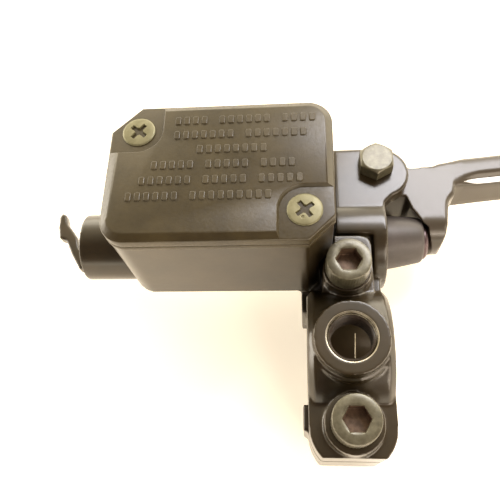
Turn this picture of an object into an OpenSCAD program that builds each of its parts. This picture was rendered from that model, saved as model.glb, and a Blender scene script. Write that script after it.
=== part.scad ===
// Handlebar brake master cylinder, right hand, with a square reservoir and a mirror boss.
// Axes: +X along the handlebar towards the lever, +Y away from the rider, +Z up.
// Origin: on the handlebar's axis, at the middle of the clamp.

/* [Handlebar clamp] */
// Diameter of the handlebar
bar_d = 22.2; // [22:0.1:22.4]
// Width of the clamp along the handlebar
clamp_w = 18.6; // [17:0.2:20]
// Distance between the two clamp bolts
bolt_pitch = 33.8; // [33:0.2:35]
// Gap between the two clamp halves
split_gap = 1.2; // [0.8:0.2:2]
// Height of the clamp bolt seats above the handlebar's axis
bolt_seat_z = 13.8; // [12:0.2:14]
// Height of the mirror boss above the handlebar's axis
mirror_z = 18; // [17:0.5:19]

/* [Bore] */
// Diameter of the hydraulic bore, half an inch
bore_d = 12.7; // [12.7:0.1:12.8]
// Outer diameter of the cylinder
barrel_d = 18; // [18:0.2:19]
// Bore axis, distance forward of the handlebar's axis
bore_y = 32; // [31:0.5:33]
// Bore axis, height above the handlebar's axis
bore_z = -4.8; // [-5.5:0.1:-4.5]
// Position of the open end of the bore
mouth_x = 11; // [10.5:0.5:11.5]
// Position of the outlet face
outlet_x = -69; // [-70:0.5:-68]

/* [Reservoir] */
// Length of the cap along the handlebar
cap_l = 50.4; // [49:0.2:51]
// Width of the cap
cap_w = 34.7; // [34:0.1:36]
// Height of the cap's lower edge above the handlebar's axis
cap_z = 27.4; // [27:0.1:29]
// Height of the cap's upright edge
cap_edge = 2.6; // [2:0.1:2.8]
// Height of the bevel above that edge
cap_rise = 1; // [0.6:0.1:1.2]
// Wall of the reservoir
wall = 2.6; // [2.4:0.1:3]

/* [Lever] */
// Lever pivot, distance from the clamp's middle along the handlebar
pivot_x = 9.2; // [9:0.1:9.4]
// Lever pivot, distance forward of the handlebar's axis
pivot_y = 49.1; // [49:0.1:49.3]
// Diameter of the pivot bolt's shank
pivot_d = 6; // [6:0.1:6]
// Thickness of the lever at its hub
hub_t = 12.6; // [12:0.2:12.8]
// Reach of the lever from its pivot to the middle of the ball end
lever_reach = 152; // [140:1:165]

/* [Hidden] */
$fn = 64;

eps = 0.01;
// Colours of the finishes
casting_c = [0.30, 0.27, 0.23];
plated_c = [0.55, 0.52, 0.38];
rubber_c = [0.13, 0.13, 0.14];
steel_c = [0.68, 0.69, 0.70];

// Clamp
bar_r = bar_d / 2;
clamp_r = 15.8;
bolt_y = bolt_pitch / 2;
bolt_hole_d = 6.6;
bolt_head_d = 10;
bolt_head_h = 6;
bolt_len = 25;
tap_m6 = 5;
lug_top = 9.6;
lug_end_y = 23.4;
boss_top_r = 8.1;
boss_low_r = 8.9;
mirror_tap_d = 8.8;
mirror_mouth_d = 10.9;

// Reservoir and cap
cap_cx = -28.2;
cap_cy = 34.2;
res_inset = 0.15;
res_l = cap_l - 2 * res_inset;
res_w = cap_w - 2 * res_inset;
res_floor_z = -0.8;
res_top_z = cap_z;
corner_r = 5.6;
chamfer_far = 6.6;
chamfer_near = 5.6;
screw_dx = 18.75;
screw_dy = 10.5;
screw_d = 4;
screw_tap_d = 3.3;
screw_head_d = 7.6;
well_z = 6.6;
tank_z = 4.6;
rim_t = 1.6;
pocket_z = cap_z + cap_edge;

// Bore and what runs in it, all measured along X
bore_r = bore_d / 2;
barrel_r = barrel_d / 2;
flange_r = 12.2;
block_x = -1.7;
bore_end_x = -50;
step_x = 5.6;
relief_r = 10.4;
relief_x = 7.3;
lug_front_y = 28.6;
mouth_r = 8.4;
outlet_tap_d = 8.8;
outlet_tap_len = 12;
feed_x = -9;
port_x = -20;
piston_x0 = -14.4;
piston_tip_x = 22.3;
stem_r = 4.5;
piston_r = bore_r - 0.06;

// Lever and its bracket
plate_top = 6.4;
slot_half = hub_t / 2 + 0.35;
plate_t = plate_top - (bore_z + slot_half);
sleeve_d = 8.6;
bolt_af = 8.2;
bolt_hex_h = 4;

module at_bore(x) { translate([x, bore_y, bore_z]) rotate([0, 90, 0]) children(); }

// A disc or tube along the bore's axis, from x0 to x1
module bore_rod(x0, x1, r) { at_bore(x0) cylinder(h = x1 - x0, r = r); }

// Plan of the reservoir: two rounded corners, and two cut at 45 degrees for the screws
module reservoir_plan(l, w, r, far_cut, near_cut) {
    difference() {
        union() {
            square([l - 2 * r, w], center = true);
            square([l, w - 2 * r], center = true);
            for (sx = [-1, 1], sy = [-1, 1]) translate([sx * (l / 2 - r), sy * (w / 2 - r)]) circle(r);
        }
        translate([-l / 2, w / 2]) rotate(45) square(far_cut * sqrt(2), center = true);
        translate([l / 2, -w / 2]) rotate(45) square(near_cut * sqrt(2), center = true);
    }
}

module at_screws(z) {
    for (s = [-1, 1]) translate([cap_cx + s * screw_dx, cap_cy - s * screw_dy, z]) children();
}

module at_bolts(z) { for (s = [-1, 1]) translate([0, s * bolt_y, z]) children(); }

// One plate of the lever bracket, as a plan outline
module lug_plan() {
    nose_r = 7.4;
    nose_x = 17.6 - nose_r;
    nose_y = 54.4 - nose_r;
    translate([block_x, 32]) square([mouth_x - block_x, 15]);
    translate([block_x, 40]) square([nose_x - block_x, 54.4 - 40]);
    translate([nose_x, nose_y]) circle(nose_r);
    polygon([[mouth_x - 0.5, 37.6], [17.3, 44.9], [nose_x, 50], [mouth_x - 4, 44]]);
}

// Hook under the outlet that stops the hose fitting from turning
module outlet_hook() {
    hook_z = bore_z - 12.8;
    translate([0, 0, hook_z]) linear_extrude(3.4) polygon([
        [outlet_x + 6, 28.9], [-75.6, 29.6], [-78.6, 34.3], [-81, 38.9], [-83.3, 39.7], [-84.2, 43.6],
        [-84.4, 47], [-83.6, 48.1], [-82.5, 47.7], [-81.5, 44.5], [-79.8, 42.5], [-77.8, 39.8],
        [-76.7, 36], [outlet_x + 6, 33.5]]);
    translate([outlet_x, 28.9, hook_z]) cube([7, 5.4, 7]);
}

// Solid block of the reservoir's outline, from height z0 to z1
module reservoir_block(z0, z1) {
    translate([cap_cx, cap_cy, z0]) linear_extrude(z1 - z0)
        reservoir_plan(res_l, res_w, corner_r - res_inset, chamfer_far, chamfer_near);
}

module reservoir_hollow() {
    in_l = res_l - 2 * wall;
    in_w = res_w - 2 * wall;
    difference() {
        translate([cap_cx, cap_cy, well_z])
            linear_extrude(res_top_z - well_z + 1) reservoir_plan(in_l, in_w, 2.4, 3.6, 3.6);
        at_screws(well_z - 1) cylinder(h = res_top_z - well_z + 3, r = 4.4);
        for (s = [-1, 1])
            translate([cap_cx + s * (screw_dx + 4), cap_cy - s * (screw_dy + 4), well_z - 1 + 15])
                cube([12, 12, 2 * 15 + 6], center = true);
    }
}

// Round part of the clamp, solid, with its outer edges cut back
module crown() {
    half = clamp_w / 2;
    edge = 1.4;
    rotate([0, 90, 0]) rotate_extrude() polygon([[0, -half], [clamp_r - edge, -half], [clamp_r, edge - half],
                                                [clamp_r, half - edge], [clamp_r - edge, half], [0, half]]);
}

// Lower half of the clamp, joined to the cylinder
module lower_clamp() {
    z0 = -15.2;
    left = -clamp_w / 2 - 1.2;
    crown();
    translate([left, bolt_y - 5.6, z0]) cube([clamp_w / 2 - left, 11.2, -z0]);
    translate([left, -bolt_y, z0]) cube([clamp_w / 2 - left, 6, -z0]);
    translate([0, -bolt_y, z0]) intersection() {
        cylinder(h = -z0, r = clamp_w / 2);
        translate([-15, bolt_y - lug_end_y, 0]) cube([30, 20, 20]);
    }
    translate([left, bolt_y, z0]) cube([clamp_w / 2 - left, bore_y - bolt_y - 2, -z0 - split_gap / 2]);
}

// Mouth of the cylinder: a thick collar, relieved under the clamp's front lug
module collar() {
    bore_rod(block_x, mouth_x, relief_r);
    difference() {
        bore_rod(block_x, mouth_x, flange_r);
        translate([block_x - 1, 0, bore_z]) cube([relief_x - block_x + 1, lug_front_y + 0.6, 20]);
    }
}

// Everything that is cut or drilled out of the casting
module casting_cuts() {
    reservoir_hollow();
    // handlebar, and room for the upper clamp half
    rotate([0, 90, 0]) cylinder(h = clamp_w + 2, r = bar_r, center = true);
    translate([-6.2, 0, -split_gap / 2]) cube([relief_x + 6.2, 22.8, 12]);
    at_bolts(-20) cylinder(h = 30, d = tap_m6);
    // bore, stepped mouth and circlip groove
    bore_rod(bore_end_x, mouth_x + 1, bore_r);
    bore_rod(step_x, mouth_x + 1, mouth_r);
    bore_rod(step_x + 1.1, step_x + 2.3, mouth_r + 0.8);
    // outlet and its drilling
    bore_rod(outlet_x - 1, outlet_x + outlet_tap_len, outlet_tap_d / 2);
    bore_rod(outlet_x + 2, bore_end_x + 1, 2);
    bore_rod(outlet_x - 1, outlet_x + 1.2, 5.4);
    // feed port and compensating port
    translate([feed_x, bore_y, bore_z]) cylinder(h = well_z - bore_z + 1, d = 3);
    translate([port_x, bore_y, bore_z]) cylinder(h = well_z - bore_z + 1, d = 0.8);
    // cap screws
    at_screws(res_top_z - 12) cylinder(h = 13, d = screw_tap_d);
    // room for the lever's hub between the plates
    translate([pivot_x, pivot_y, bore_z - slot_half]) cylinder(h = 2 * slot_half, r = 7.6);
    // pivot hole
    translate([pivot_x, pivot_y, -30]) cylinder(h = 60, d = pivot_d + 0.1);
}

module cylinder_body() {
    color(casting_c) difference() {
        union() {
            reservoir_block(res_floor_z, tank_z);
            bore_rod(outlet_x, mouth_x, barrel_r);
            collar();
            // floor of the reservoir blends into the cylinder
            translate([cap_cx - res_l / 2 + 3, bore_y - barrel_r, bore_z])
                cube([res_l - 3, 2 * barrel_r, 5]);
            // bracket plates above and below the lever
            translate([0, 0, plate_top - plate_t]) linear_extrude(plate_t) lug_plan();
            translate([0, 0, bore_z - slot_half - plate_t]) linear_extrude(plate_t) lug_plan();
            // webs that join the plates beside and behind the slot
            translate([block_x, bore_y, bore_z - slot_half - 1]) cube([4.2, 22.4, 2 * slot_half + 2]);
            translate([block_x, bore_y, bore_z - 11]) cube([mouth_x - block_x, 5.6, 22]);
            lower_clamp_trim();
            outlet_hook();
        }
        casting_cuts();
    }
}

// Open tank above the cylinder, with a post for each cap screw
module reservoir_tank() {
    color(casting_c) difference() {
        reservoir_block(tank_z, res_top_z);
        casting_cuts();
    }
}

// The clamp's lower half, kept clear of the space above the cylinder's front
module lower_clamp_trim() {
    intersection() {
        lower_clamp();
        translate([-20, -40, -30]) cube([40, 80, 30 - split_gap / 2]);
    }
}

module clamp_holder() {
    z0 = split_gap / 2;
    color(casting_c) difference() {
        union() {
            intersection() {
                crown();
                translate([-20, -20, z0]) cube([40, 40, 20]);
            }
            cylinder(h = 15, r = boss_low_r);
            cylinder(h = mirror_z, r = boss_top_r);
            // rider's side lug
            translate([-clamp_w / 2, -bolt_y, z0]) cube([clamp_w, 10, lug_top - z0]);
            translate([0, -bolt_y, z0]) intersection() {
                cylinder(h = lug_top - z0, r = clamp_w / 2);
                translate([-15, bolt_y - lug_end_y, 0]) cube([30, 20, 20]);
            }
            translate([0, -bolt_y, z0]) cylinder(h = bolt_seat_z - z0, r = 6.3);
            // front lug
            translate([0, bolt_y, z0]) cylinder(h = bolt_seat_z - z0, r = 5.5);
            translate([-5.5, 8, z0]) cube([11.8, bolt_y - 8, lug_top - z0]);
            translate([-2.4, bolt_y, z0]) cube([8.7, 4.7, lug_top - z0]);
            translate([-2.4, bolt_y, 5.6]) linear_extrude(lug_top - 5.6) union() {
                square([8.7 - 2.4, 10.4]);
                square([8.7, 8]);
                translate([8.7 - 2.4, 8]) circle(2.4);
            }
        }
        rotate([0, 90, 0]) cylinder(h = clamp_w + 2, r = bar_r, center = true);
        at_bolts(-1) cylinder(h = 30, d = bolt_hole_d);
        cylinder(h = 30, d = mirror_tap_d);
        translate([0, 0, mirror_z - 1]) cylinder(h = 1 + eps, d1 = mirror_tap_d, d2 = mirror_mouth_d);
        translate([-20, -30, -30]) cube([40, 60, 30 + z0]);
    }
}

module clamp_bolts() {
    color(plated_c) at_bolts(bolt_seat_z) difference() {
        union() {
            translate([0, 0, -bolt_len]) cylinder(h = bolt_len + eps, d = tap_m6 - 0.02);
            cylinder(h = bolt_head_h, d = bolt_head_d);
        }
        translate([0, 0, bolt_head_h - 3.4]) cylinder(h = 4, d = 5 / cos(30), $fn = 6);
    }
}

module reservoir_cap() {
    bevel = 1.65;
    pocket_r = 5.4;
    color(casting_c) difference() {
        union() {
            translate([cap_cx, cap_cy, cap_z])
                linear_extrude(cap_edge) reservoir_plan(cap_l, cap_w, corner_r, chamfer_far, chamfer_near);
            translate([cap_cx, cap_cy, cap_z])
                linear_extrude(cap_edge + cap_rise)
                    reservoir_plan(cap_l - 2 * bevel, cap_w - 2 * bevel, corner_r - bevel,
                                   chamfer_far, chamfer_near);
        }
        // pockets for the screw heads, open to the cut corners
        for (s = [-1, 1]) translate([cap_cx + s * screw_dx, cap_cy - s * screw_dy, pocket_z]) {
            cylinder(h = 3, r = pocket_r);
            translate([s > 0 ? 0 : -20, s > 0 ? -20 : -pocket_r, 0]) cube([20, 20 + pocket_r, 3]);
            translate([s > 0 ? -pocket_r : -20, s > 0 ? -20 : 0, 0]) cube([20 + pocket_r, 20, 3]);
        }
        at_screws(cap_z - 1) cylinder(h = 10, d = screw_d + 0.4);
        at_screws(pocket_z - 1.7) cylinder(h = 1.7 + eps, d1 = screw_d + 0.4, d2 = screw_head_d + 0.1);
    }
}

module cap_screws() {
    color(plated_c) at_screws(pocket_z) difference() {
        union() {
            translate([0, 0, -12]) cylinder(h = 12, d = screw_tap_d - 0.02);
            translate([0, 0, -1.68]) cylinder(h = 1.68, d1 = screw_d + 0.3, d2 = screw_head_d);
            cylinder(h = 0.7, d1 = screw_head_d, d2 = screw_head_d - 1.6);
        }
        for (a = [0, 90]) rotate(a) translate([-2, -0.5, -1]) cube([4, 1, 3]);
    }
}

// Plan of everything that lies inside the reservoir's mouth and clears the screw posts
module inner_plan(shrink) {
    l = res_l - 2 * wall - 2 * shrink;
    w = res_w - 2 * wall - 2 * shrink;
    difference() {
        reservoir_plan(l, w, 2.4, 3.6, 3.6);
        for (s = [-1, 1]) translate([s * screw_dx, -s * screw_dy]) {
            circle(4.4 + shrink);
            translate([s > 0 ? 0 : -12, s > 0 ? -12 : -4.4 - shrink]) square([12, 16.4 + shrink]);
            translate([s > 0 ? -4.4 - shrink : -12, s > 0 ? -12 : 0]) square([16.4 + shrink, 12]);
        }
    }
}

module diaphragm_plate() {
    color([0.8, 0.78, 0.7]) difference() {
        translate([cap_cx, cap_cy, cap_z - 1.1]) linear_extrude(1.1) inner_plan(0.3);
        translate([cap_cx, cap_cy, cap_z - 2]) cylinder(h = 4, d = 3);
    }
}

module diaphragm() {
    z1 = cap_z - 1.1;
    color(rubber_c) translate([cap_cx, cap_cy, z1 - rim_t]) difference() {
        union() {
            linear_extrude(rim_t) inner_plan(0.3);
            translate([0, 0, -4]) linear_extrude(4 + eps) inner_plan(1.6);
        }
        translate([0, 0, -2.8]) linear_extrude(6) inner_plan(2.8);
    }
}

module port_shield() {
    color(steel_c) translate([(feed_x + port_x) / 2, bore_y, well_z + 0.02]) union() {
        translate([-7.5, -4, 0.8]) cube([15, 8, 0.8]);
        for (s = [-1, 1]) translate([s * 6.9 - 0.6, -4, 0]) cube([1.2, 8, 1]);
    }
}

module piston() {
    color([0.75, 0.72, 0.6]) difference() {
        union() {
            bore_rod(piston_x0, piston_x0 + 2.6, piston_r);
            bore_rod(piston_x0 + 1, step_x - 0.4, 4);
            bore_rod(-2.4, -0.2, piston_r);
            bore_rod(2.8, step_x - 0.2, piston_r);
            bore_rod(-0.4, 3, 4.4);
            bore_rod(step_x - 1, piston_tip_x - 0.6, stem_r);
            at_bore(piston_tip_x - 0.6) cylinder(h = 0.6, r1 = stem_r, r2 = stem_r - 0.6);
        }
        for (a = [0:60:300]) at_bore(piston_x0 - 1) rotate(a) translate([4.9, 0, 0]) cylinder(h = 5, d = 1.4);
    }
}

// Cup seals: a disc with a lip that flares to the bore
module cup_profile(len, lip, r_out, r_in) {
    polygon([[r_in, 0], [r_out - 0.5, 0], [r_out, len], [r_out - 1.2, len], [r_out - 1.9, lip], [r_in, lip]]);
}

module primary_cup() {
    color(rubber_c) translate([piston_x0 - 0.7, bore_y, bore_z]) rotate([0, -90, 0])
        rotate_extrude() cup_profile(4, 1.8, bore_r - 0.06, 0);
}

module cup_shim() {
    color(steel_c) bore_rod(piston_x0 - 0.5, piston_x0 - 0.2, 5.6);
}

module secondary_cup() {
    color(rubber_c) translate([2.6, bore_y, bore_z]) rotate([0, -90, 0])
        rotate_extrude() cup_profile(2.6, 1.6, bore_r - 0.06, 4.45);
}

spring_x1 = piston_x0 - 0.7 - 4.2;

module spring_retainer() {
    color(steel_c) union() {
        bore_rod(spring_x1 + 0.6, piston_x0 - 2.7, 2.2);
        bore_rod(spring_x1, spring_x1 + 0.8, 4.6);
    }
}

// Wire of the return spring, swept along a helix
module helix(r, wire, len, turns, steps, sides) {
    n = turns * steps;
    function centre(i) = [len * i / n, r * cos(360 * i / steps), r * sin(360 * i / steps)];
    function ring(i) = [for (k = [0:sides - 1])
        let (a = 360 * i / steps, b = 360 * k / sides, q = r + wire / 2 * cos(b))
        [centre(i)[0] + wire / 2 * sin(b), q * cos(a), q * sin(a)]];
    points = [for (i = [0:n]) each ring(i)];
    sides_f = [for (i = [0:n - 1], k = [0:sides - 1])
        let (k2 = (k + 1) % sides)
            [i * sides + k, (i + 1) * sides + k, (i + 1) * sides + k2, i * sides + k2]];
    ends = [[for (k = [0:sides - 1]) k], [for (k = [sides - 1:-1:0]) n * sides + k]];
    polyhedron(points, concat(sides_f, ends), convexity = 8);
}

module return_spring() {
    color(steel_c) translate([bore_end_x + 0.7, bore_y, bore_z])
        helix(4.4, 1.1, spring_x1 - bore_end_x - 1.4, 8, 14, 6);
}

module stop_washer() {
    color(steel_c) difference() {
        bore_rod(step_x + 0.02, step_x + 1.02, mouth_r - 0.15);
        bore_rod(step_x - 1, step_x + 2, stem_r + 0.3);
    }
}

module circlip() {
    color(steel_c) difference() {
        bore_rod(step_x + 1.15, step_x + 2.2, mouth_r + 0.7);
        bore_rod(step_x, step_x + 3, mouth_r - 1.6);
        translate([step_x, bore_y - 2, bore_z - 12]) cube([4, 4, 12]);
    }
}

module dust_boot() {
    color(rubber_c) translate([0, bore_y, bore_z]) rotate([0, 90, 0]) rotate_extrude()
        polygon([[6.6, step_x + 2.6], [8.3, step_x + 2.6], [8.3, mouth_x - 0.6], [7.2, mouth_x + 0.2],
                 [7.2, mouth_x + 1], [5.8, 20.2], [5.1, 21.2],
                 [4.56, 21.2], [4.56, 19.4], [5.7, mouth_x + 1]]);
}

// Plan of the lever's hub and of the step from which the blade starts
module hub_plan() {
    translate([pivot_x, pivot_y]) circle(6.2);
    polygon([[pivot_x + 2, pivot_y - 5.9], [17.2, 42.6], [18.6, 40.5], [22.5, 37.6], [22.5, 35.2],
             [27.1, 35.2], [27, 40],
             [28.6, 43.8], [34, 46], [34, 53.6], [24.3, 51.6], [19.3, 51], [pivot_x, pivot_y + 6.2]]);
}

// Nose that pushes the piston: round in plan where it touches, and round about the bore's axis
module nose() {
    face_x = piston_tip_x + 0.1;
    face_r = 9;
    face_y = bore_y + 2.3;
    intersection() {
        bore_rod(15, 35, 5.8);
        translate([0, 0, -20]) linear_extrude(30) intersection() {
            translate([face_x + face_r, face_y]) circle(face_r);
            polygon([[20, 28.6], [24.4, 28.9], [26, 30.2], [26.9, 32.4], [27.1, 35], [27.1, 38], [20, 38]]);
        }
    }
}

// Blade: t runs from 0 at the hub to 1 at the ball
blade_start_x = 33;
blade_end_x = pivot_x + lever_reach;
function blade_x(t) = blade_start_x + (blade_end_x - blade_start_x) * t;
function blade_y(t) = 49.9 + 6.6 * sin(115 * t) - 13.5 * pow(t, 3);
function blade_w(t) = 8 + 0.6 * t;
blade_h0 = 12.2;
blade_h1 = 9.8;

module blade() {
    steps = 36;
    back = [for (i = [0:steps]) let (t = i / steps) [blade_x(t), blade_y(t) + blade_w(t) / 2]];
    front = [for (i = [steps:-1:0]) let (t = i / steps) [blade_x(t), blade_y(t) - blade_w(t) / 2]];
    translate([0, 0, bore_z]) intersection() {
        translate([0, 0, -hub_t / 2]) linear_extrude(hub_t) polygon(concat(back, front));
        translate([0, 100, 0]) rotate([90, 0, 0]) linear_extrude(100)
            polygon([[30, -blade_h0 / 2], [blade_end_x, -blade_h1 / 2],
                     [blade_end_x, blade_h1 / 2], [30, blade_h0 / 2]]);
    }
}

module brake_lever() {
    ball_r = 8.5;
    color(casting_c) difference() {
        union() {
            translate([0, 0, bore_z - hub_t / 2]) linear_extrude(hub_t) hub_plan();
            // lip that covers the boot's end
            translate([0, 0, bore_z + hub_t / 2 - 0.9]) linear_extrude(0.9)
                polygon([[17.2, 42.6], [18.6, 38.6], [20.8, 35.2], [22.2, 33.8], [24, 33.8], [24, 40]]);
            nose();
            blade();
            translate([blade_end_x, blade_y(1), bore_z]) sphere(r = ball_r);
        }
        translate([pivot_x, pivot_y, -30]) cylinder(h = 60, d = sleeve_d);
    }
}

module pivot_sleeve() {
    color(steel_c) translate([pivot_x, pivot_y, bore_z]) difference() {
        cylinder(h = hub_t, d = sleeve_d, center = true);
        cylinder(h = hub_t + 2, d = pivot_d + 0.1, center = true);
    }
}

module pivot_bolt() {
    color(plated_c) translate([pivot_x, pivot_y, plate_top]) union() {
        translate([0, 0, -2 * plate_t - 2 * slot_half - 6.4])
            cylinder(h = 2 * plate_t + 2 * slot_half + 6.4 + eps, d = pivot_d);
        rotate(30) cylinder(h = bolt_hex_h, d = bolt_af / cos(30), $fn = 6);
    }
}

module pivot_nut() {
    nut_h = 5;
    translate([pivot_x, pivot_y, plate_top - 2 * plate_t - 2 * slot_half - nut_h])
    color(plated_c) difference() {
        cylinder(h = nut_h, d = 10 / cos(30), $fn = 6);
        translate([0, 0, -1]) cylinder(h = nut_h + 2, d = pivot_d + 0.04);
    }
}

cylinder_body();
reservoir_tank();
clamp_holder();
clamp_bolts();
reservoir_cap();
cap_screws();
diaphragm_plate();
diaphragm();
port_shield();
piston();
primary_cup();
cup_shim();
secondary_cup();
spring_retainer();
return_spring();
stop_washer();
circlip();
dust_boot();
brake_lever();
pivot_sleeve();
pivot_bolt();
pivot_nut();
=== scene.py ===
"""The looks of a handlebar brake master cylinder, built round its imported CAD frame.

Lengths are metres in the row frame: +X along the handlebar towards the lever, +Y away
from the rider, +Z up. Sizes are written in millimetres and multiplied by MM.
"""

import logging
import math
from collections.abc import Sequence
from dataclasses import dataclass, field
from enum import Enum

import bmesh
import bpy
import numpy as np
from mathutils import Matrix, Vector

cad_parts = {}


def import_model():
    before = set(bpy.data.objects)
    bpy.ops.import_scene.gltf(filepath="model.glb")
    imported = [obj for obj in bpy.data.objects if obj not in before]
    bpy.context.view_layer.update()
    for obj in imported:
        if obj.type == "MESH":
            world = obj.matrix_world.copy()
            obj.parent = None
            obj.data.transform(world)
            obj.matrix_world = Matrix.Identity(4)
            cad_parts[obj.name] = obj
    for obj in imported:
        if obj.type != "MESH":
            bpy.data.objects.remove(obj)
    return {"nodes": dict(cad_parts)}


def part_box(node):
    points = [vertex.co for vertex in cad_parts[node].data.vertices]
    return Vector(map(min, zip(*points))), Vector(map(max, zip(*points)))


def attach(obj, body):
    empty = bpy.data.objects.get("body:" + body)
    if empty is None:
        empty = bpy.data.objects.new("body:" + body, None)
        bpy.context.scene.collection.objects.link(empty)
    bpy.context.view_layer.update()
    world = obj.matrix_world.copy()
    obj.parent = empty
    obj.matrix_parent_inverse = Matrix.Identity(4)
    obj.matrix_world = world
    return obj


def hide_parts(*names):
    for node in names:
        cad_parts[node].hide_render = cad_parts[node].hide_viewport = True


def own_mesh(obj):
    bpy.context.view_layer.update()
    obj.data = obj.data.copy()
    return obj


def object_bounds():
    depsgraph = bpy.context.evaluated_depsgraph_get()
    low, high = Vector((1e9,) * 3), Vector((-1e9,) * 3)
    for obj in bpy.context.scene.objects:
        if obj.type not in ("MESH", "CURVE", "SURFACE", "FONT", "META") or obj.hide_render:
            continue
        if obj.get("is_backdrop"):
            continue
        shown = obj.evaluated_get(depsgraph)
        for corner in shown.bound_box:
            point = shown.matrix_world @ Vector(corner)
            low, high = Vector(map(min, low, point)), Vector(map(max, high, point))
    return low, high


MM = 0.001
LOG = logging.getLogger("master_cylinder")


# ---------------------------------------------------------------- small tools

class Axis(Enum):
    """The row axis that a turned piece is turned about."""

    X = "x"
    Z = "z"


class Grain(Enum):
    """How a surface was made; only turned work gives its grain a direction."""

    CAST = "cast"
    TURNED = "turned"
    MOULDED = "moulded"
    PLATED = "plated"


def linear(code: str) -> tuple[float, float, float, float]:
    """The linear colour of an sRGB hex value.

    A channel c in 0..1 becomes c / 12.92 up to 0.04045, and ((c + 0.055) / 1.055) ^ 2.4 above.

    Args:
        code: Six hex digits, such as "5d4f3a".

    Returns:
        Red, green, blue and an alpha of 1.
    """
    c = np.array([int(code[i:i + 2], 16) for i in (0, 2, 4)]) / 255.0
    out = np.where(c <= 0.04045, c / 12.92, ((c + 0.055) / 1.055) ** 2.4)
    return float(out[0]), float(out[1]), float(out[2]), 1.0


def add_node(tree: bpy.types.NodeTree, kind: str, settings: dict | None = None,
             values: dict | None = None, links: dict | None = None) -> bpy.types.Node:
    """Adds one node with its settings, its input values and the links into it.

    Args:
        tree: The node tree that gets the node.
        kind: Blender's name for the node's type.
        settings: Property name to value.
        values: Input name or number to default value.
        links: Input name or number to the output socket that feeds it.

    Returns:
        The new node.
    """
    made = tree.nodes.new(kind)
    for key, value in (settings or {}).items():
        setattr(made, key, value)
    for key, value in (values or {}).items():
        made.inputs[key].default_value = value
    for key, source in (links or {}).items():
        tree.links.new(source, made.inputs[key])
    return made


def arc(cx: float, cy: float, r: float, start: float, end: float, steps: int = 10) -> np.ndarray:
    """Points c + r (cos a, sin a) for angles a from start to end, in degrees."""
    a = np.radians(np.linspace(start, end, steps + 1))
    return np.stack([cx + r * np.cos(a), cy + r * np.sin(a)], 1)


def inset(outline: np.ndarray, depths: np.ndarray | float) -> np.ndarray:
    """The outline moved inwards, each edge by its own depth.

    Corner v between edges with inward normals n1, n2 and depths d1, d2 moves by the w that
    solves n1.w = d1 and n2.w = d2; where the edges turn by less than 17 degrees,
    w = (n1 + n2) (d1 + d2) / 2 / (1 + n1.n2).

    Args:
        outline: Corners, shape (n, 2), anticlockwise.
        depths: Depth of the edge that starts at each corner, or one depth for all.

    Returns:
        The moved corners, shape (n, 2).
    """
    d2 = np.broadcast_to(np.asarray(depths, float), (len(outline),))
    edge = np.roll(outline, -1, 0) - outline
    edge = edge / np.linalg.norm(edge, axis=1, keepdims=True)
    n2 = np.stack([-edge[:, 1], edge[:, 0]], 1)
    n1, d1 = np.roll(n2, 1, 0), np.roll(d2, 1)
    cross = n1[:, 0] * n2[:, 1] - n1[:, 1] * n2[:, 0]
    flat = np.abs(cross) < 0.3
    safe = np.where(flat, 1.0, cross)
    move = np.stack([(d1 * n2[:, 1] - d2 * n1[:, 1]) / safe,
                     (d2 * n1[:, 0] - d1 * n2[:, 0]) / safe], 1)
    mean = (n1 + n2) * ((d1 + d2) / 2 / (1 + (n1 * n2).sum(1)))[:, None]
    return outline + np.where(flat[:, None], mean, move)


def hexagon(angles: np.ndarray, across_flats: float, turn: float = 0.0) -> np.ndarray:
    """Distance from the centre to a hexagon's side: (flats / 2) / cos(a), a within 30 degrees of a flat."""
    a = np.mod(np.degrees(angles) - turn + 30.0, 60.0) - 30.0
    return across_flats / 2 / np.cos(np.radians(a))


def smooth_step(x: np.ndarray, low: float, high: float) -> np.ndarray:
    """0 below low, 1 above high, and t * t * (3 - 2t) between them."""
    t = np.clip((x - low) / (high - low), 0.0, 1.0)
    return t * t * (3 - 2 * t)


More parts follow.
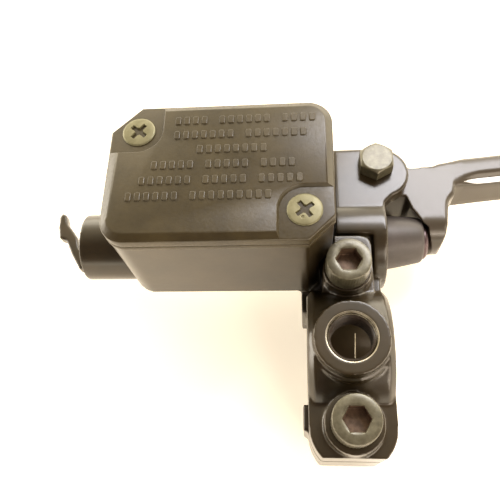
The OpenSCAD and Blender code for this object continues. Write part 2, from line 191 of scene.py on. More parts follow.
@dataclass
class Shell:
    """Surfaces that are gathered into one mesh, with a UV map in metres along the surface."""

    points: list[np.ndarray] = field(default_factory=list)
    faces: list[list[int]] = field(default_factory=list)
    uvs: list[np.ndarray] = field(default_factory=list)
    count: int = 0

    def add_rings(self, rings: np.ndarray, start_cap: bool = True, end_cap: bool = True,
                  closed: bool = False) -> "Shell":
        """Adds closed rings of points joined by quads.

        Quad (i, j) joins ring points (i, j), (i, j+1), (i+1, j+1) and (i+1, j), so rings
        anticlockwise about the way they advance face outwards.

        Args:
            rings: Points, shape (rings, points per ring, 3).
            start_cap: Whether the first ring is filled.
            end_cap: Whether the last ring is filled.
            closed: Whether the last ring joins the first, as on a torus.

        Returns:
            This shell.
        """
        n, m = rings.shape[:2]
        rows = n if closed else n - 1
        i, j = np.meshgrid(np.arange(rows), np.arange(m), indexing="ij")
        i2, j2 = (i + 1) % n, (j + 1) % m
        quads = np.stack([i * m + j, i * m + j2, i2 * m + j2, i2 * m + j], -1).reshape(-1, 4)
        around = np.linalg.norm(np.roll(rings, -1, 1) - rings, axis=2).mean(0)
        along = np.linalg.norm(np.roll(rings, -1, 0) - rings, axis=2).mean(1)
        u = np.concatenate([[0.0], np.cumsum(around)])
        v = np.concatenate([[0.0], np.cumsum(along)])
        uv = np.stack([np.stack([u[j], v[i]], -1), np.stack([u[j + 1], v[i]], -1),
                       np.stack([u[j + 1], v[i + 1]], -1), np.stack([u[j], v[i + 1]], -1)], -2)
        self.faces += (quads + self.count).tolist()
        self.uvs.append(uv.reshape(-1, 2))
        for wanted, ring, order in ((start_cap, 0, -1), (end_cap, n - 1, 1)):
            if wanted and not closed:
                self.faces.append((np.arange(m)[::order] + ring * m + self.count).tolist())
                self.uvs.append(rings[ring][::order, :2])
        self.points.append(rings.reshape(-1, 3))
        self.count += n * m
        return self

    def mesh(self, name: str, sharp: float = 35.0) -> bpy.types.Mesh:
        """The gathered surfaces as one mesh, with doubles merged.

        Args:
            name: The mesh's name.
            sharp: Angle in degrees over which an edge stays crisp.

        Returns:
            The mesh.
        """
        made = bpy.data.meshes.new(name)
        made.from_pydata(np.concatenate(self.points).tolist(), [], self.faces)
        layer = made.uv_layers.new(name="surface")
        layer.data.foreach_set("uv", np.concatenate(self.uvs).astype(np.float32).ravel())
        tool = bmesh.new()
        tool.from_mesh(made)
        bmesh.ops.remove_doubles(tool, verts=tool.verts, dist=1e-7)
        tool.to_mesh(made)
        tool.free()
        made.polygons.foreach_set("use_smooth", np.ones(len(made.polygons), bool))
        made.set_sharp_from_angle(angle=math.radians(sharp))
        return made


def turned(profile: Sequence[tuple[float, float]], axis: Axis, centre: tuple[float, float, float],
           segments: int = 96, shape: np.ndarray | None = None) -> np.ndarray:
    """Rings of a profile turned about an axis: along the axis h, across it r (cos a, sin a).

    Args:
        profile: Pairs (radius, height) in millimetres, from the low end outwards, up and back in.
        axis: X or Z.
        centre: A point of the axis, in millimetres.
        segments: Points per ring.
        shape: Optional factors on each radius, shape (profile, segments).

    Returns:
        Points in metres, shape (profile, segments, 3).
    """
    r, h = np.array(profile, float).T
    a = np.linspace(0.0, 2 * np.pi, segments, endpoint=False)
    radius = r[:, None] * (np.ones((len(r), segments)) if shape is None else shape)
    one, two = radius * np.cos(a), radius * np.sin(a)
    height = np.broadcast_to(h[:, None], one.shape)
    parts = (height, one, two) if axis is Axis.X else (one, two, height)
    return (np.stack(parts, -1) + np.array(centre)) * MM


def evaluated(obj: bpy.types.Object, name: str) -> bpy.types.Mesh:
    """The object's mesh with its modifiers applied; the object itself is removed.

    Args:
        obj: The object.
        name: The new mesh's name.

    Returns:
        The new mesh.
    """
    bpy.context.view_layer.update()
    made = bpy.data.meshes.new_from_object(obj.evaluated_get(bpy.context.evaluated_depsgraph_get()))
    made.name = name
    bpy.data.objects.remove(obj)
    return made


def welded(node: bpy.types.Object, drop_beyond: float | None = None) -> bpy.types.Mesh:
    """A copy of a CAD node's mesh with its loose triangles merged.

    Args:
        node: The CAD node.
        drop_beyond: An X in metres past which the copy is cut off and closed.

    Returns:
        The merged mesh.
    """
    made = node.data.copy()
    made.materials.clear()
    tool = bmesh.new()
    tool.from_mesh(made)
    bmesh.ops.remove_doubles(tool, verts=tool.verts, dist=2e-6)
    if drop_beyond is not None:
        cut = bmesh.ops.bisect_plane(tool, geom=tool.verts[:] + tool.edges[:] + tool.faces[:],
                                     plane_co=(drop_beyond, 0, 0), plane_no=(1, 0, 0), clear_outer=True)
        bmesh.ops.holes_fill(tool, edges=[e for e in cut["geom_cut"] if isinstance(e, bmesh.types.BMEdge)])
        bmesh.ops.recalc_face_normals(tool, faces=tool.faces)
    tool.to_mesh(made)
    tool.free()
    return made


def softened(parts: list[bpy.types.Mesh], name: str, voxel: float, passes: int,
             keep: float = 1.0) -> bpy.types.Mesh:
    """Closed meshes made one skin with rounded edges, as a casting leaves its mould.

    Args:
        parts: Closed meshes that may overlap.
        name: The new mesh's name.
        voxel: Cell size of the remesh, in metres.
        passes: Smoothing passes; the edge radius grows with voxel * sqrt(passes).
        keep: Share of the faces kept by the final decimation.

    Returns:
        The new mesh, all smooth shaded.
    """
    tool = bmesh.new()
    for part in parts:
        tool.from_mesh(part)
    joined = bpy.data.meshes.new(name + "_raw")
    tool.to_mesh(joined)
    tool.free()
    obj = bpy.data.objects.new(name + "_raw", joined)
    bpy.context.scene.collection.objects.link(obj)
    remesh = obj.modifiers.new("skin", "REMESH")
    remesh.mode, remesh.voxel_size, remesh.adaptivity = "VOXEL", voxel, 0.0
    smooth = obj.modifiers.new("round", "SMOOTH")
    smooth.factor, smooth.iterations = 0.5, passes
    if keep < 1.0:
        thin = obj.modifiers.new("thin", "DECIMATE")
        thin.ratio = keep
    made = evaluated(obj, name)
    made.polygons.foreach_set("use_smooth", np.ones(len(made.polygons), bool))
    return made


def relaxed(mesh: bpy.types.Mesh, weights: np.ndarray, passes: int, keep: float) -> bpy.types.Mesh:
    """Smooths a mesh further where the weights say, then thins it.

    Args:
        mesh: The mesh to smooth.
        weights: One weight from 0 to 1 per vertex.
        passes: Smoothing passes at full weight.
        keep: Share of the faces kept.

    Returns:
        A new mesh of the same name.
    """
    name = mesh.name
    obj = bpy.data.objects.new(name + "_draft", mesh)
    bpy.context.scene.collection.objects.link(obj)
    group = obj.vertex_groups.new(name="near")
    for level in range(1, 11):
        chosen = np.flatnonzero(np.round(weights * 10).astype(int) == level)
        group.add(chosen.tolist(), level / 10, "REPLACE")
    smooth = obj.modifiers.new("relax", "SMOOTH")
    smooth.factor, smooth.iterations, smooth.vertex_group = 0.5, passes, "near"
    thin = obj.modifiers.new("thin", "DECIMATE")
    thin.ratio = keep
    mesh.name = name + "_draft"
    made = evaluated(obj, name)
    made.polygons.foreach_set("use_smooth", np.ones(len(made.polygons), bool))
    return made


def coordinates(mesh: bpy.types.Mesh) -> np.ndarray:
    """The mesh's vertices as an array.

    Args:
        mesh: The mesh.

    Returns:
        Points, shape (n, 3).
    """
    co = np.zeros(len(mesh.vertices) * 3, np.float32)
    mesh.vertices.foreach_get("co", co)
    return co.reshape(-1, 3).astype(float)


def set_coordinates(mesh: bpy.types.Mesh, co: np.ndarray) -> None:
    """Puts an array of vertices back into the mesh."""
    mesh.vertices.foreach_set("co", co.astype(np.float32).ravel())
    mesh.update()


# ---------------------------------------------------------------- finishes

@dataclass(frozen=True)
class Finish:
    """One real finish: its tones, gloss and the grain of its surface."""

    name: str
    tone: str
    shade: str
    grain: Grain
    metallic: float = 0.0
    roughness: float = 0.4
    spread: float = 0.08
    blotch_mm: float = 8.0
    grain_mm: float = 0.5
    bump_mm: float = 0.01
    specular: float = 0.5
    coat: float = 0.0
    coat_roughness: float = 0.2
    slot: str = ""

    def material(self) -> bpy.types.Material:
        """The finish as a node material, made once and then shared.

        Tone and shade mix over soft blotches of blotch_mm, a finer noise of grain_mm lifts the
        surface by bump_mm and moves the roughness by spread.

        Returns:
            The material.
        """
        if self.name in bpy.data.materials:
            return bpy.data.materials[self.name]
        made = bpy.data.materials.new(self.name)
        made.use_nodes = True
        made.diffuse_color = linear(self.tone)
        tree = made.node_tree
        shader = tree.nodes["Principled BSDF"]
        where = add_node(tree, "ShaderNodeTexCoord")
        place = where.outputs["Object"]
        fine_place = place
        if self.grain is Grain.TURNED:
            # tool marks run round the piece: the UV map's u goes round and v along the profile
            stretch = add_node(tree, "ShaderNodeMapping", values={"Scale": (0.04, 1.0, 1.0)},
                               links={"Vector": where.outputs["UV"]})
            fine_place = stretch.outputs["Vector"]
        blotch = add_node(tree, "ShaderNodeTexNoise", values={
            "Scale": 1 / (self.blotch_mm * MM), "Detail": 4.0, "Roughness": 0.6}, links={"Vector": place})
        fine = add_node(tree, "ShaderNodeTexNoise", values={
            "Scale": 1 / (self.grain_mm * MM), "Detail": 3.0, "Roughness": 0.55},
            links={"Vector": fine_place})
        ramp = add_node(tree, "ShaderNodeMapRange", values={"From Min": 0.35, "From Max": 0.65},
                        links={"Value": blotch.outputs["Fac"]})
        colour = add_node(tree, "ShaderNodeMix", {"data_type": "RGBA"}, {
            "A": linear(self.shade), "B": linear(self.tone)}, {"Factor": ramp.outputs["Result"]})
        tree.links.new(colour.outputs["Result"], shader.inputs["Base Color"])
        gloss = add_node(tree, "ShaderNodeMapRange", values={
            "From Min": 0.3, "From Max": 0.7, "To Min": max(0.05, self.roughness - self.spread),
            "To Max": self.roughness + self.spread}, links={"Value": fine.outputs["Fac"]})
        tree.links.new(gloss.outputs["Result"], shader.inputs["Roughness"])
        bump = add_node(tree, "ShaderNodeBump", values={"Strength": 1.0, "Distance": self.bump_mm * MM},
                        links={"Height": fine.outputs["Fac"]})
        tree.links.new(bump.outputs["Normal"], shader.inputs["Normal"])
        shader.inputs["Metallic"].default_value = self.metallic
        if not self.metallic:
            shader.inputs["Specular IOR Level"].default_value = self.specular
        shader.inputs["Coat Weight"].default_value = self.coat
        shader.inputs["Coat Roughness"].default_value = self.coat_roughness
        return made


# black paint over a die casting, satin, with a faint orange peel: nearly black, so it shows what it mirrors
PAINT = Finish("black_paint_on_die_cast_aluminium", "3a3020", "2d2618", Grain.CAST, roughness=0.3,
               spread=0.015, blotch_mm=11, grain_mm=1.2, bump_mm=0.0015, coat=0.4, coat_roughness=0.16,
               slot="black_casting")
# the same paint on the cover, with a coarser cast skin under it
COVER_PAINT = Finish("black_paint_on_cast_cover", "433a25", "372f1d", Grain.CAST, roughness=0.36, spread=0.08,
                     blotch_mm=7, grain_mm=0.7, bump_mm=0.02, coat=0.15, slot="black_casting")
# the body's black paint on the lever, painted lighter and greyer to stand in for the glare on the lever, and
# more even
LEVER_PAINT_LIGHTENED = Finish("black_paint_lightened_as_lit_lever", "4f483e", "4c453b", Grain.CAST, roughness=0.3,
                     spread=0.015, blotch_mm=24, grain_mm=1.2, bump_mm=0.001, coat=0.22,
                     coat_roughness=0.16, slot="black_casting")
# yellow zinc plate: a thin straw-olive film over steel, slightly mottled
ZINC = Finish("yellow_zinc_plated_steel", "6a6656", "545042", Grain.PLATED, metallic=0.34, roughness=0.36,
              spread=0.08, blotch_mm=1.4, grain_mm=0.3, bump_mm=0.005, coat=0.3, slot="plated_steel")
# the same plate on the cap screws, clearer and paler
SCREW_ZINC = Finish("clear_yellow_zinc_plated_screw", "7f7b62", "716d54", Grain.PLATED, metallic=0.35,
                    roughness=0.42, spread=0.06, blotch_mm=2.4, grain_mm=0.3, bump_mm=0.004,
                    slot="plated_steel")
# the same plate down in a bolt's socket, dull and tinted brown-pink as painted shade and reflection of the
# recess
SOCKET_ZINC = Finish("zinc_in_socket_painted_shade", "84705f", "635346", Grain.PLATED, metallic=0.3, roughness=0.5,
                     spread=0.08, blotch_mm=1.2, grain_mm=0.3, bump_mm=0.01, slot="plated_steel")
# fresh cut aluminium where the thread was chamfered through the paint
TAPPED = Finish("bare_cut_aluminium", "b5ae9e", "938b79", Grain.TURNED, metallic=1.0, roughness=0.3,
                spread=0.1, blotch_mm=2, grain_mm=0.12, bump_mm=0.006, slot="bright_steel")
# thread flanks darkened to stand in for the shade down the holes
SHADED_THREAD = Finish("tapped_thread_painted_shade", "2e2620", "453b31", Grain.CAST, roughness=0.4, spread=0.1,
                        blotch_mm=1.5, grain_mm=0.3, bump_mm=0.01, slot="black_casting")
TURNED_STEEL = Finish("turned_bright_steel", "9a9a97", "80807d", Grain.TURNED, metallic=1.0, roughness=0.28,
                      blotch_mm=4, grain_mm=0.15, bump_mm=0.004, slot="bright_steel")
SPRING_STEEL = Finish("drawn_spring_steel", "7d7d7a", "60605d", Grain.PLATED, metallic=1.0, roughness=0.33,
                      blotch_mm=3, grain_mm=0.2, bump_mm=0.004, slot="bright_steel")
# hard anodised aluminium: a dull pinkish grey
ANODISED = Finish("hard_anodised_aluminium", "6a5a5a", "5c4d4e", Grain.PLATED, metallic=0.4, roughness=0.36,
                  blotch_mm=5, grain_mm=0.2, bump_mm=0.003, slot="anodised_piston")
# EPDM rubber: dull, with a bloom that greys it
RUBBER = Finish("moulded_epdm_rubber", "56504d", "4a4542", Grain.MOULDED, roughness=0.45, spread=0.06,
                blotch_mm=6, grain_mm=0.35, bump_mm=0.005, slot="black_rubber")
NYLON = Finish("moulded_white_nylon", "d6d2c4", "c8c3b3", Grain.MOULDED, roughness=0.45, slot="white_plastic")
# painted highlight: a near-white skin laid on the blade's ledge, standing in for the light that the ledge
# catches
LEDGE_HIGHLIGHT = Finish("painted_highlight_on_ledge", "d9d7d2", "cfccc6", Grain.CAST, metallic=0.35, roughness=0.35,
              spread=0.05, blotch_mm=9, grain_mm=0.8, bump_mm=0.002, slot="black_casting")
PAPER = Finish("matt_white_board", "fcf8f0", "f9f4ea", Grain.MOULDED, roughness=0.9, spread=0.05,
               blotch_mm=60, grain_mm=2, bump_mm=0.01, specular=0.2)


def place_piece(mesh: bpy.types.Mesh, finish: Finish, body: str,
                stands_for: Sequence[str] = ()) -> bpy.types.Object:
    """Puts a finished mesh into the scene on its CAD body, with its finish.

    Args:
        mesh: The mesh, in the row frame.
        finish: Its finish.
        body: The CAD body that it moves with.
        stands_for: CAD nodes that it replaces.

    Returns:
        The new object.
    """
    obj = bpy.data.objects.new(mesh.name, mesh)
    bpy.context.scene.collection.objects.link(obj)
    mesh.materials.clear()
    mesh.materials.append(finish.material())
    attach(obj, body)
    if stands_for:
        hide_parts(*stands_for)
    LOG.info("%s: %d faces on %s", obj.name, len(mesh.polygons), body)
    return obj


# ---------------------------------------------------------------- the castings

@dataclass
class Castings:
    """The cylinder with its tank, and the upper clamp half, with the soft edges of die castings."""

    nodes: dict
    voxel: float = 0.38 * MM
    mirror_top: float = 18.0
    mirror_bottom: float = 9.6
    thread_r: float = 5.05
    thread_crest: float = 4.45
    thread_depth: float = 0.55
    outlet_x: float = -69.0
    outlet_depth: float = 11.0
    bore_y: float = 32.0
    bore_z: float = -4.8

    def build(self) -> None:
        """Makes and dresses both castings and the tapped threads in them."""
        self.cylinder()
        self.holder()
        self.mirror_thread()
        self.outlet_thread()

    def cylinder(self) -> None:
        """The cylinder, bracket, lower clamp half and tank, which leave the mould as one piece."""
        parts = [welded(self.nodes["cylinder_body"]), welded(self.nodes["reservoir_tank"])]
        mesh = softened(parts, "cylinder_casting", self.voxel, 5, 0.6)
        co = coordinates(mesh)
        x, rest = co[:, 0], co[:, 1:] - np.array([self.bore_y, self.bore_z]) * MM
        r = np.hypot(rest[:, 0], rest[:, 1])
        start, end = (self.outlet_x - 0.5) * MM, (self.outlet_x + self.outlet_depth + 0.5) * MM
        inside = (x > start) & (x < end) & (r < self.thread_r * MM)
        co[inside, 1:] += rest[inside] * ((self.thread_r * MM / np.maximum(r[inside], 1e-6)) - 1)[:, None]
        set_coordinates(mesh, co)
        place_piece(mesh, PAINT, "housing", ["cylinder_body", "reservoir_tank"])

    def holder(self) -> None:
        """The upper clamp half; its tapped hole is opened to the thread's full radius."""
        mesh = softened([welded(self.nodes["clamp_holder"])], "clamp_holder_casting", 0.3 * MM, 6)
        co = coordinates(mesh)
        r = np.hypot(co[:, 0], co[:, 1])
        inside = (co[:, 2] > self.mirror_bottom * MM) & (r < self.thread_r * MM)
        co[inside, :2] *= (self.thread_r * MM / np.maximum(r[inside], 1e-6))[:, None]
        set_coordinates(mesh, co)
        place_piece(mesh, PAINT, "housing", ["clamp_holder"])

    def thread(self, depth: np.ndarray, pitch: float, mouth: float, angles: np.ndarray) -> np.ndarray:
        """Radius of an internal thread at each depth below its mouth and each angle, in millimetres.

        r = crest + thread depth * tri(depth / pitch - angle / 2 pi), never less than the mouth's
        chamfer mouth - depth, with tri a triangle wave cut off to flats at 0 and 1.

        Args:
            depth: Depths below the mouth.
            pitch: Distance from thread to thread.
            mouth: Radius of the chamfer at depth 0.
            angles: Angles round the hole, in radians.

        Returns:
            Radii, shape (depths, angles).
        """
        phase = np.mod(depth[:, None] / pitch - angles[None, :] / (2 * np.pi), 1.0)
        wave = 1 - np.abs(2 * phase - 1)
        radius = self.thread_crest + self.thread_depth * np.clip(wave * 1.25 - 0.1, 0, 1)
        return np.maximum(radius, (mouth - depth)[:, None])

    def mirror_thread(self) -> None:
        """The tapped M10 thread in the mirror boss, the bright chamfer at its mouth and the seam below."""
        n = 128
        angles = np.linspace(0, 2 * np.pi, n, endpoint=False)
        depth = np.linspace(0.62, self.mirror_top - 10.6, 90)
        inner = self.thread(depth, 1.25, 5.5, angles)
        z = self.mirror_top - depth
        height = np.repeat(z[:, None], n, 1)
        rings = np.stack([inner * np.cos(angles), inner * np.sin(angles), height], -1) * MM
        wall = turned([(5.5, z[-1]), (5.5, z[0])], Axis.Z, (0, 0, 0), n)
        # the thread's dark finish is painted shade inside the hole
        place_piece(Shell().add_rings(np.concatenate([rings, wall]), closed=True).mesh("mirror_thread", 60),
                    SHADED_THREAD, "housing")
        top = self.mirror_top
        chamfer = [(5.4, top - 0.9), (4.9, top - 0.8), (4.9, top - 0.66), (5.34, top - 0.02),
                   (5.46, top + 0.03), (5.6, top + 0.03), (5.62, top - 0.5)]
        place_piece(Shell().add_rings(turned(chamfer, Axis.Z, (0, 0, 0), n), closed=True).mesh(
            "mirror_thread_chamfer", 30), TAPPED, "housing")
        self.seam()

    def seam(self) -> None:
        """The bright line in the bar's bore, seen through the mirror boss: a thin wire round the bore."""
        wire_r, bore_r, place = 0.16, 11.12, 3.0
        a, b = np.radians(np.linspace(-78, -44, 24)), np.linspace(0, 2 * np.pi, 8, endpoint=False)
        reach = bore_r - wire_r * np.sin(b)[None, :]
        along = np.broadcast_to(place + wire_r * np.cos(b), (len(a), len(b)))
        rings = np.stack([along, reach * np.cos(a)[:, None], reach * np.sin(a)[:, None]], -1) * MM
        place_piece(Shell().add_rings(rings).mesh("bar_bore_seam", 60), TAPPED, "housing")

    def outlet_thread(self) -> None:
        """The tapped thread of the outlet, behind its counterbore."""
        n = 96
        angles = np.linspace(0, 2 * np.pi, n, endpoint=False)
        depth = np.linspace(1.25, self.outlet_depth, 110)
        inner = self.thread(depth - 1.2, 1.0, 5.2, angles)
        x = np.repeat((self.outlet_x + depth)[:, None], n, 1)
        y, z = self.bore_y + inner * np.cos(-angles), self.bore_z + inner * np.sin(-angles)
        rings = np.stack([x, y, z], -1) * MM
        wall = turned([(5.3, self.outlet_x + depth[-1]), (5.3, self.outlet_x + depth[0])], Axis.X,
                      (0, self.bore_y, self.bore_z), n)
        # the hole's rings run clockwise, so the wall's are turned to match
        wall = wall[:, (-np.arange(n)) % n]
        # the thread's dark finish is painted shade inside the hole
        place_piece(Shell().add_rings(np.concatenate([rings, wall]), closed=True).mesh("outlet_thread", 60),
                    SHADED_THREAD, "housing")


# ---------------------------------------------------------------- the cap

@dataclass
class Cap:
    """The reservoir's cap: a slab, a raised bevelled panel, rows of raised pads and two screws."""

    low: tuple[float, float, float]
    high: tuple[float, float, float]
    corner_r: float = 5.6
    far_cut: float = 6.6
    near_cut: float = 5.6
    edge: float = 2.6
    rise: float = 0.8
    screw_dx: float = 18.75
    screw_dy: float = 10.5
    pocket_r: float = 5.4
    screw_r: float = 3.8
    cross_reach: float = 2.15
    cross_half: float = 0.5
    cross_depth: float = 1.5

    def centre(self) -> tuple[float, float]:
        """Middle of the cap in plan, in millimetres."""
        return (self.low[0] + self.high[0]) / 2 / MM, (self.low[1] + self.high[1]) / 2 / MM

    def half(self) -> tuple[float, float]:
        """Half the cap's length and half its width, in millimetres."""
        return (self.high[0] - self.low[0]) / 2 / MM, (self.high[1] - self.low[1]) / 2 / MM

    def build(self) -> None:
        """Makes the cap and its screws."""
        shell = Shell()
        self.slab(shell)
        self.panel(shell)
        place_piece(shell.mesh("reservoir_cap_cover", 40), COVER_PAINT, "housing", ["reservoir_cap"])
        lip = Shell()
        self.lip(lip)
        place_piece(lip.mesh("tank_rim_lip", 30), COVER_PAINT, "housing")
        pads = Shell()
        self.pads(pads)
        place_piece(pads.mesh("cap_raised_pads", 18), COVER_PAINT, "housing")
        self.screws()

    def lift(self, outline: np.ndarray, height: float) -> np.ndarray:
        """A plan outline, in millimetres from the cap's middle, at a height above its lower edge.

        Args:
            outline: Corners, shape (n, 2).
            height: Height in millimetres.

        Returns:
            Points in metres, shape (n, 3).
        """
        cx, cy = self.centre()
        flat = np.full(len(outline), self.low[2] / MM + height)
        return np.column_stack([outline[:, 0] + cx, outline[:, 1] + cy, flat]) * MM

    def plan(self) -> np.ndarray:
        """The cap's plan outline about its middle: two round corners and two cut off at 45 degrees.

        Returns:
            Corners in millimetres, shape (n, 2), anticlockwise.
        """
        hx, hy = self.half()
        r, near, far = self.corner_r, self.near_cut, self.far_cut
        return np.concatenate([
            arc(r - hx, r - hy, r, 180, 270), [[hx - near, -hy], [hx, near - hy]],
            arc(hx - r, hy - r, r, 0, 90), [[far - hx, hy], [-hx, hy - far]]])

    def slab(self, shell: Shell) -> None:
        """Adds the slab: the plan outline swept up, its edges slightly rolled.

        Args:
            shell: The shell that gets it.
        """
        steps = ((0.5, 0.0), (0.16, 0.02), (0.03, 0.12), (0.0, 0.3), (0.0, 2.2), (0.05, 2.42), (0.18, 2.55),
                 (0.4, 2.6))
        shell.add_rings(np.stack([self.lift(inset(self.plan(), d), h) for d, h in steps]))

    def lip(self, shell: Shell) -> None:
        """Adds the tank's rolled rim, a thin band just under the cap that closes on itself.

        Args:
            shell: The shell that gets it.
        """
        steps = ((0.6, -1.7), (0.3, -1.62), (0.02, -1.45), (-0.03, -1.3), (-0.03, -0.3), (0.06, -0.1),
                 (0.6, -0.06))
        shell.add_rings(np.stack([self.lift(inset(self.plan(), d), h) for d, h in steps]), closed=True)

    def panel(self, shell: Shell) -> None:
        """Adds the raised panel: its bevel is wide along the cap's edges and narrow round the pockets.

        Args:
            shell: The shell that gets it.
        """
        hx, hy = self.half()
        r, sx, sy, p = self.corner_r, self.screw_dx, self.screw_dy, self.pocket_r
        wide, left, pocket = 1.65, 2.2, 0.5
        runs = [
            (arc(r - hx, r - hy, r, 180, 270), wide), ([[sx - p, -hy]], pocket),
            (arc(sx, -sy, p, 180, 90, 12), pocket), ([[hx, p - sy]], wide),
            (arc(hx - r, hy - r, r, 0, 90), wide), ([[p - sx, hy]], pocket),
            (arc(-sx, sy, p, 0, -90, 12), pocket), ([[-hx, sy - p]], left)]
        outline = np.concatenate([np.asarray(points, float) for points, _ in runs])
        depth = np.concatenate([np.full(len(points), width) for points, width in runs])
        foot = np.where(depth > 1.0, 0.32, 0.0)
        steps = ((0.0, -0.05), (0.0, 0.02), (0.1, 0.12), (0.86, 0.86), (1.0, 0.965), (1.2, 1.0))
        rings = [self.lift(inset(outline, foot + (depth - foot) * f), self.edge + self.rise * h)
                 for f, h in steps]
        shell.add_rings(np.stack(rings), start_cap=False)

    def pads(self, shell: Shell) -> None:
        """Adds six staggered rows of small raised pads, plain and unmarked, in groups.

        Args:
            shell: The shell that gets them.
        """
        pitch, wide, tall, corner, row_pitch, first_y = 2.02, 0.72, 1.12, 0.4, 3.92, 12.6
        # where each row starts along the cap, and how many pads are in each of its groups
        rows = ((-10.6, (4, 6, 4)), (-10.6, (7, 7)), (-5.2, (8,)), (-15.2, (5, 5, 4)), (-17.6, (6, 5, 5)),
                (-20.2, (6, 9)))
        pad = np.concatenate([arc(sx * (wide - corner), sy * (tall - corner), corner, a, a + 90, 3)
                              for sx, sy, a in ((1, 1, 0), (-1, 1, 90), (-1, -1, 180), (1, -1, 270))])
        top = self.edge + self.rise
        for number, (start, groups) in enumerate(rows):
            y, x = first_y - row_pitch * number, start
            for group in groups:
                for _ in range(group):
                    rings = [self.lift(inset(pad, d) + np.array([x + pitch / 2, y]), top + h)
                             for d, h in ((0.0, -0.03), (0.03, 0.06), (0.12, 0.2), (0.22, 0.24))]
                    shell.add_rings(np.stack(rings))
                    x += pitch
                x += pitch

    def screws(self) -> None:
        """Two raised countersunk screws with a cross recess, stopped at different turns."""
        cx, cy = self.centre()
        shell = Shell()
        for side, turn, dot in ((-1, 51.0, (-0.95, -1.15)), (1, 36.0, (-0.5, -1.9))):
            place = (cx + side * self.screw_dx, cy - side * self.screw_dy, self.low[2] / MM + self.edge)
            self.screw(shell, place, math.radians(turn), dot)
        place_piece(shell.mesh("cap_screw_pair", 40), SCREW_ZINC, "housing", ["cap_screws"])

    def screw(self, shell: Shell, place: tuple[float, float, float], turn: float,
              dot: tuple[float, float]) -> None:
        """Adds a screw: shank and cone turned, head a polar grid with the cross pressed into it.

        Height over the head: z = 0.26 + 0.22 (1 - (r / R)^4) less a rolled rim, less the cross's
        depth times s and a taper towards its ends, where s rises smoothly from the cross's border
        inwards, less 0.2 in the round dimple.

        Args:
            shell: The shell that gets it.
            place: The middle of the head's seat, in millimetres.
            turn: How far the cross is turned, in radians.
            dot: The dimple's place from the head's middle, in millimetres.
        """
        n = 180
        a = np.linspace(0, 2 * np.pi, n, endpoint=False)
        shank = turned([(0.0, -12.0), (1.2, -12.0), (1.63, -11.4), (1.63, -2.1), (3.7, -0.25),
                        (self.screw_r, -0.1), (self.screw_r, 0.2)], Axis.Z, place, n)
        r = np.concatenate([[3.74, 3.64], np.linspace(3.5, 0.0, 60)])
        x, y = r[:, None] * np.cos(a), r[:, None] * np.sin(a)
        u, v = x * math.cos(turn) + y * math.sin(turn), y * math.cos(turn) - x * math.sin(turn)
        long, half = self.cross_reach, self.cross_half
        border = np.minimum(np.maximum(np.abs(u) - long, np.abs(v) - half),
                            np.maximum(np.abs(v) - long, np.abs(u) - half))
        middle = np.hypot(x, y) - 0.95
        press = smooth_step(-np.minimum(border, middle), -0.05, 0.16)
        taper = 1.0 - 0.35 * np.clip(np.hypot(x, y) / long, 0, 1)
        rim = 0.1 * smooth_step(r, 3.5, 3.72)[:, None]
        z = 0.26 + 0.22 * (1 - (r[:, None] / self.screw_r) ** 4) - rim - self.cross_depth * press * taper
        z = z - 0.2 * smooth_step(-np.hypot(x - dot[0], y - dot[1]), -0.42, -0.22)
        head = np.stack([x, y, z], -1) * MM + np.array(place) * MM
        shell.add_rings(np.concatenate([shank, head]), start_cap=False, end_cap=False)


# ---------------------------------------------------------------- bolts

@dataclass
class ClampBolts:
    """Two M6 socket head bolts that close the clamp."""

    pitch: float = 33.8
    seat_z: float = 13.8
    head_r: float = 5.0
    head_h: float = 6.0
    key: float = 5.0
    length: float = 25.0

    def build(self) -> None:
        """Makes the pair of bolts, and the lining of their sockets, tinted as painted shade."""
        heads, sockets = Shell(), Shell()
        for side in (-1, 1):
            self.bolt(heads, sockets, (0.0, side * self.pitch / 2, self.seat_z))
        place_piece(heads.mesh("clamp_bolt_pair", 38), ZINC, "housing", ["clamp_bolts"])
        # the socket lining's brown tint is painted shade and reflection of the recess
        place_piece(sockets.mesh("clamp_bolt_socket_shade", 30), SOCKET_ZINC, "housing")

    def bolt(self, heads: Shell, sockets: Shell, place: tuple[float, float, float]) -> None:
        """Adds a bolt: up the shank, over the knurled head's rim and down into the hexagon.

        The knurl is r (1 + 0.008 (cos 48a - 1)); the socket's radius is a hexagon's, its mouth is
        blended from a circle, and its lining lies 0.02 inside the head's own wall.

        Args:
            heads: The shell that gets the bolt.
            sockets: The shell that gets the lining of its socket.
            place: The middle of the head's seat, in millimetres.
        """
        n = 192
        a = np.linspace(0, 2 * np.pi, n, endpoint=False)
        key = hexagon(a, self.key, 30.0)
        knurl = 1 + 0.008 * np.cos(48 * a) - 0.008
        h, r = self.head_h, self.head_r
        rows: list[tuple[np.ndarray | float, float]] = [
            (0.0, -self.length), (2.0, -self.length), (2.49, 0.6 - self.length), (2.49, 0.0), (4.6, 0.0),
            (4.9, 0.12), (r * knurl, 0.4), (r * knurl, h - 0.7), (r * 0.992, h - 0.5), (r * 0.987, h - 0.22),
            (r * 0.97, h - 0.06), (r * 0.945, h), (3.1, h), (2.96, h - 0.02),
            (np.minimum(key + 0.05, 2.93), h - 0.12), (key, h - 0.22), (key, h - 3.4), (0.0, h - 3.4)]
        lining: list[tuple[np.ndarray | float, float]] = [
            (key - 0.02, h - 0.24), (key - 0.02, h - 3.2), (key * 0.93, h - 3.3), (1.5, h - 3.32),
            (0.0, h - 3.34)]
        for shell, profile in ((heads, rows), (sockets, lining)):
            radius = np.stack([np.broadcast_to(np.asarray(v, float), (n,)) for v, _ in profile])
            height = np.array([z for _, z in profile])
            rings = np.stack([radius * np.cos(a), radius * np.sin(a), np.repeat(height[:, None], n, 1)], -1)
            shell.add_rings((rings + np.array(place)) * MM, start_cap=False, end_cap=False)


